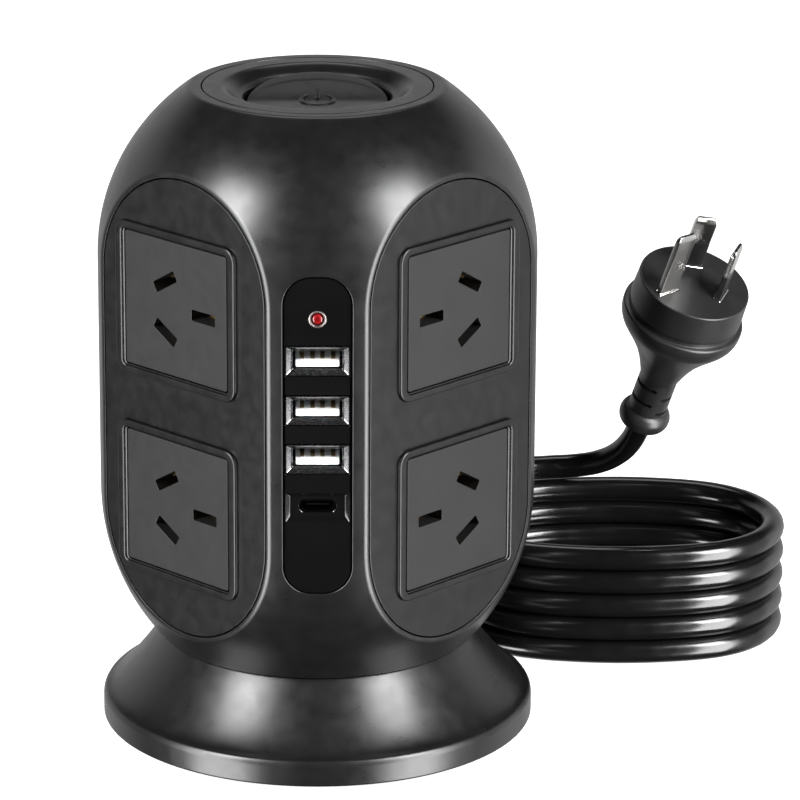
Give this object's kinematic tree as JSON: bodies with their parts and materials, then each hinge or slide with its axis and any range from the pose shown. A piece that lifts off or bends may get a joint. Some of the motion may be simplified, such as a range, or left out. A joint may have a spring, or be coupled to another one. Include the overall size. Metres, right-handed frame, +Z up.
{
  "type": "tower power strip",
  "caption": "Free-standing tower power strip with mains sockets on four flats, USB charging ports, a round rocker switch on top and a coiled mains cord with its plug.",
  "frame": {"origin": "centre of the underside of the tower's feet, on the surface that it stands on", "axes": "+Z up the tower's axis; the corner with the USB ports faces -Y; the four socket flats face diagonally between X and Y; the cord leaves the base towards +Y"},
  "size_m": [0.1907, 0.1748, 0.1753],
  "materials": {
    "body_black": "satin black moulded ABS with a very fine grain",
    "face_grey": "satin dark grey moulded plastic, a little lighter than the body",
    "panel_gloss": "high-gloss black plastic",
    "rubber": "matt black rubber",
    "cord_black": "smooth glossy black PVC",
    "inner_plastic": "natural moulded insulating plastic",
    "circuit_green": "green solder resist",
    "usb_steel": "plated sheet steel",
    "usb_white": "white insulating plastic",
    "nickel": "bright nickel plate",
    "brass": "plain brass strip",
    "screw_steel": "zinc-plated steel",
    "led_red": "clear red moulded lens"
  },
  "bodies": {
    "tower": {"active_strip_lower": "brass", "active_strip_upper": "brass", "base_cover": "body_black", "base_screw_1": "screw_steel", "base_screw_2": "screw_steel", "base_screw_3": "screw_steel", "base_screw_4": "screw_steel", "base_shell": "body_black", "breaker_body": "inner_plastic", "charger_board": "circuit_green", "charger_transformer": "inner_plastic", "contact_carrier_front_left": "inner_plastic", "contact_carrier_front_right": "inner_plastic", "contact_carrier_rear_left": "inner_plastic", "contact_carrier_rear_right": "inner_plastic", "cord_coil": "cord_black", "cord_gland": "cord_black", "cord_lead": "cord_black", "cord_tail": "cord_black", "earth_strip_lower": "brass", "earth_strip_upper": "brass", "face_plate_front_left": "face_grey", "face_plate_front_right": "face_grey", "face_plate_rear_left": "face_grey", "face_plate_rear_right": "face_grey", "foot_1": "rubber", "foot_2": "rubber", "foot_3": "rubber", "foot_4": "rubber", "led_lens": "led_red", "led_ring": "nickel", "neutral_strip_lower": "brass", "neutral_strip_upper": "brass", "plug_body": "cord_black", "plug_pin_active": "nickel", "plug_pin_earth": "nickel", "plug_pin_neutral": "nickel", "socket_front_left_lower": "face_grey", "socket_front_left_upper": "face_grey", "socket_front_right_lower": "face_grey", "socket_front_right_upper": "face_grey", "socket_rear_left_lower": "face_grey", "socket_rear_left_upper": "face_grey", "socket_rear_right_lower": "face_grey", "socket_rear_right_upper": "face_grey", "switch_body": "inner_plastic", "top_cap": "body_black", "tower_shell": "body_black", "usb_a_shell_1": "usb_steel", "usb_a_shell_2": "usb_steel", "usb_a_shell_3": "usb_steel", "usb_a_tongue_1": "usb_white", "usb_a_tongue_2": "usb_white", "usb_a_tongue_3": "usb_white", "usb_c_shell": "usb_steel", "usb_c_tongue": "usb_steel", "usb_panel": "panel_gloss"},
    "rocker": {"power_rocker": "body_black"},
    "reset": {"reset_button": "body_black"}
  },
  "joints": [
    {"name": "power_switch", "type": "hinge", "parent": "tower", "child": "rocker", "pos_m": [0, 0, 0.1686], "axis": [1, 0, 0], "range_deg": [-11, 0]},
    {"name": "reset_press", "type": "slide", "parent": "tower", "child": "reset", "axis": [0, -1, 0], "range_m": [0, 0.0018], "stiffness_N_per_m": 300, "springref_m": -0.0005}
  ]
}
